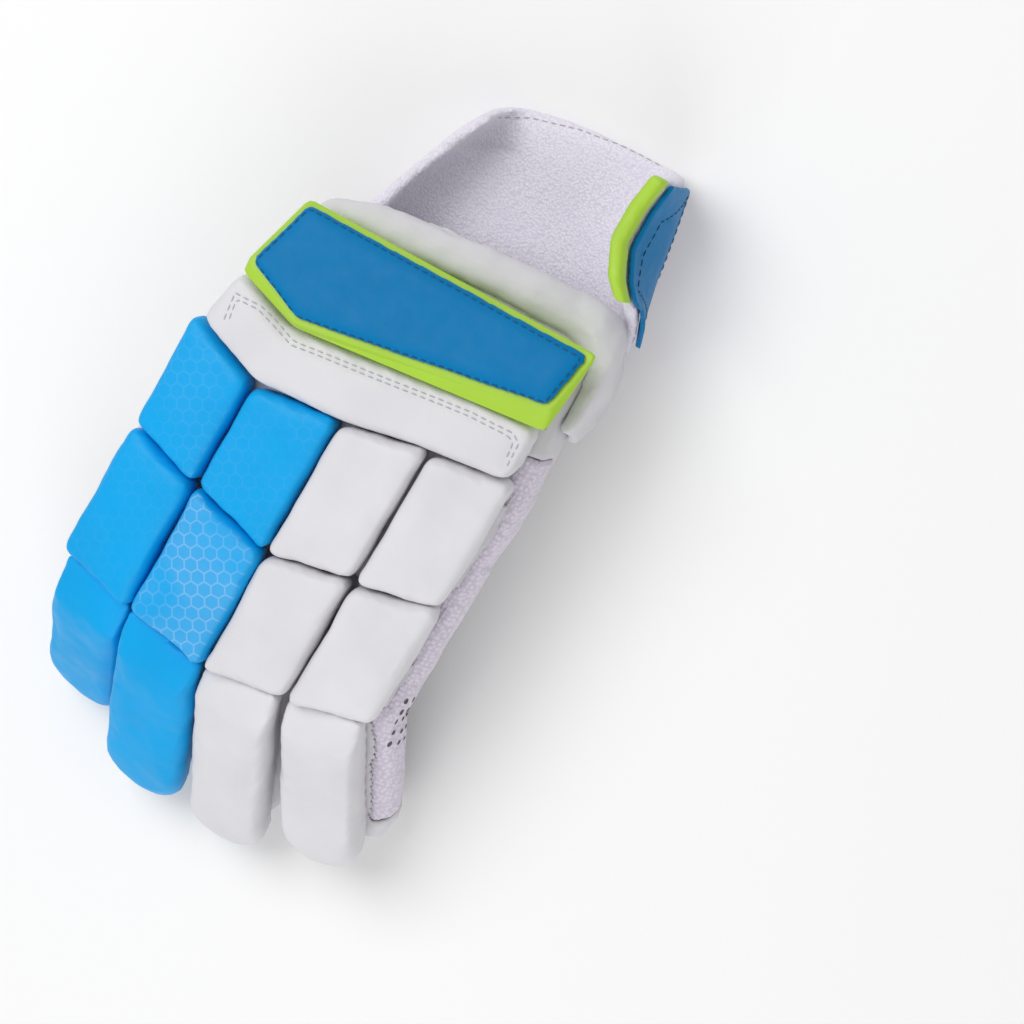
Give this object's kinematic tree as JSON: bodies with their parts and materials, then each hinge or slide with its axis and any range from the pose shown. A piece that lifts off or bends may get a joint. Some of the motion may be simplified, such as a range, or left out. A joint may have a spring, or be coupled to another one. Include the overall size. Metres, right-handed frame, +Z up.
{
  "type": "cricket batting glove",
  "caption": "Padded batting glove for the left hand: foam blocks over the fingers and knuckles, a bevelled wrist cuff, a soft collar and an open towelling strap; it rests palm down.",
  "frame": {"origin": "on the surface the glove rests on, under the middle of its bounding box", "axes": "+X to the little finger side, +Y to the wrist, +Z up out of the back of the hand"},
  "size_m": [0.1356, 0.2636, 0.0725],
  "materials": {
    "leather_white": "soft white leather, fine grain",
    "padding_white": "white leather over foam, smooth satin",
    "padding_blue": "bright blue leather over foam, satin",
    "cuff_blue": "blue leather, satin",
    "lime_trim": "lime green leather, satin",
    "towelling": "looped towelling, matte",
    "side_mesh": "pebbled mesh with vent holes, matte"
  },
  "bodies": {
    "root": {"hand_shell": "leather_white", "little_side_mesh": "side_mesh", "index_side_panel": "leather_white", "finger_stall_index": "leather_white", "finger_stall_middle": "leather_white", "finger_stall_ring": "leather_white", "finger_stall_little": "leather_white", "thumb_stall": "leather_white", "knuckle_pad_index": "padding_blue", "knuckle_pad_middle": "padding_blue", "knuckle_pad_ring": "padding_white", "knuckle_pad_little": "padding_white", "finger_pad_index": "padding_blue", "finger_pad_middle": "padding_blue", "finger_pad_ring": "padding_white", "finger_pad_little": "padding_white", "tip_pad_index": "padding_blue", "tip_pad_middle": "padding_blue", "tip_pad_ring": "padding_white", "tip_pad_little": "padding_white", "knuckle_bar": "padding_white", "cuff_rim": "lime_trim", "cuff_pad": "cuff_blue", "wrist_collar": "leather_white", "wrist_strap": "towelling", "strap_tab": "cuff_blue", "strap_binding": "lime_trim", "thumb_pad": "padding_white", "thumb_flap": "leather_white"}
  },
  "joints": []
}
